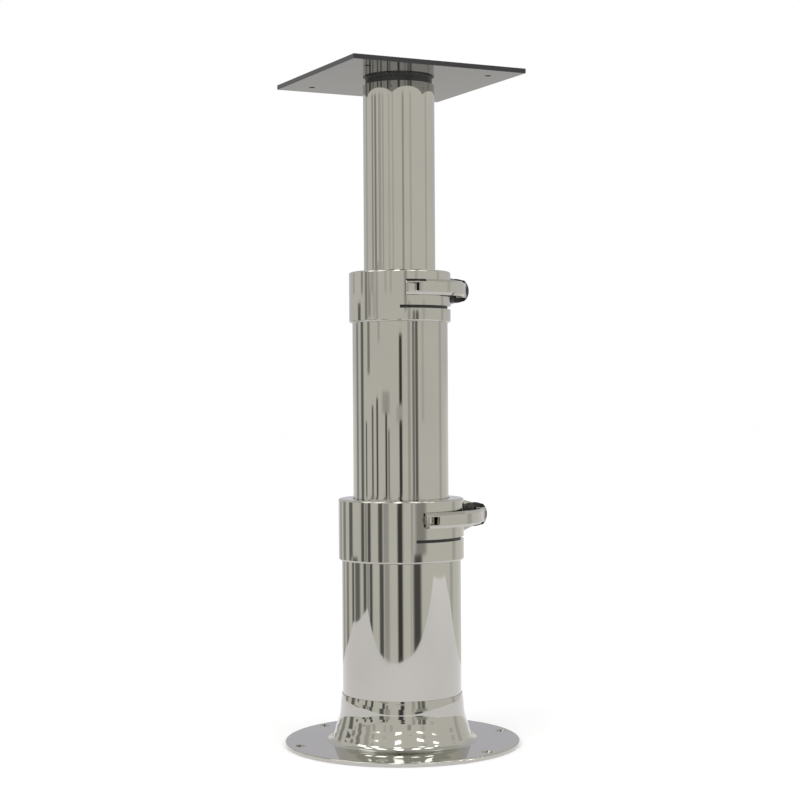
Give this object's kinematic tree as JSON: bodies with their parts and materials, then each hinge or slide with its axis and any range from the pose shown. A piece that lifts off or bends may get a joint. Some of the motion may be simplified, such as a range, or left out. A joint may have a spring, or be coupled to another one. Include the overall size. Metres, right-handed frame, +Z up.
{
  "type": "boat table pedestal",
  "caption": "Telescopic table pedestal: round flared foot, nested polished tubes, slotted clamp collars with cam levers, and a square top plate.",
  "frame": {"origin": "centre of the round foot, on the floor", "axes": "+Z up along the tubes; X and Y along the edges of the square top plate"},
  "size_m": [0.25, 0.25, 0.71],
  "materials": {
    "foot_aluminium": "mirror polished",
    "tube_aluminium": "mirror polished",
    "collar_aluminium": "mirror polished",
    "lever_aluminium": "polished",
    "spigot_aluminium": "dark turned",
    "stainless": "bright",
    "black_nylon": "moulded",
    "guide_plastic": "moulded",
    "black_plate": "gloss black"
  },
  "bodies": {
    "base": {"base_flange": "foot_aluminium", "outer_tube": "tube_aluminium", "lower_collar": "collar_aluminium", "lower_collar_grub_screws": "stainless", "lower_clamp_stud": "stainless", "lower_saddle_washer": "black_nylon", "lower_nut_washer": "stainless", "lower_dome_nut": "stainless"},
    "lower_bush": {"lower_guide_bush": "guide_plastic"},
    "middle_stage": {"middle_tube": "tube_aluminium", "middle_slide_ring": "guide_plastic", "middle_slide_ring_screws": "stainless", "upper_collar": "collar_aluminium", "upper_collar_grub_screws": "stainless", "upper_clamp_stud": "stainless", "upper_saddle_washer": "black_nylon", "upper_nut_washer": "stainless", "upper_dome_nut": "stainless"},
    "upper_bush": {"upper_guide_bush": "guide_plastic"},
    "inner_stage": {"inner_tube": "tube_aluminium", "inner_slide_ring": "guide_plastic", "inner_slide_ring_screws": "stainless", "top_spigot": "spigot_aluminium", "spigot_grub_screws": "stainless", "top_plate": "black_plate", "plate_screws": "stainless"},
    "lower_lever": {"lower_cam_lever": "lever_aluminium", "lower_pivot_pin": "stainless"},
    "upper_lever": {"upper_cam_lever": "lever_aluminium", "upper_pivot_pin": "stainless"}
  },
  "joints": [
    {"name": "middle_swivel", "type": "hinge", "parent": "base", "child": "lower_bush", "pos_m": [0, 0, 0.2409], "axis": [0, 0, 1], "continuous": true},
    {"name": "middle_slide", "type": "slide", "parent": "lower_bush", "child": "middle_stage", "axis": [0, 0, 1], "range_m": [-0.185, 0]},
    {"name": "inner_swivel", "type": "hinge", "parent": "middle_stage", "child": "upper_bush", "pos_m": [0, 0, 0.48305], "axis": [0, 0, 1], "continuous": true},
    {"name": "inner_slide", "type": "slide", "parent": "upper_bush", "child": "inner_stage", "axis": [0, 0, 1], "range_m": [-0.195, 0]},
    {"name": "lower_lever_swing", "type": "hinge", "parent": "base", "child": "lower_lever", "pos_m": [0.08824, -0.01476, 0.2409], "axis": [0, 0, 1], "range_deg": [0, 100]},
    {"name": "upper_lever_swing", "type": "hinge", "parent": "middle_stage", "child": "upper_lever", "pos_m": [0.06766, -0.01154, 0.48305], "axis": [0, 0, 1], "range_deg": [0, 100]}
  ]
}
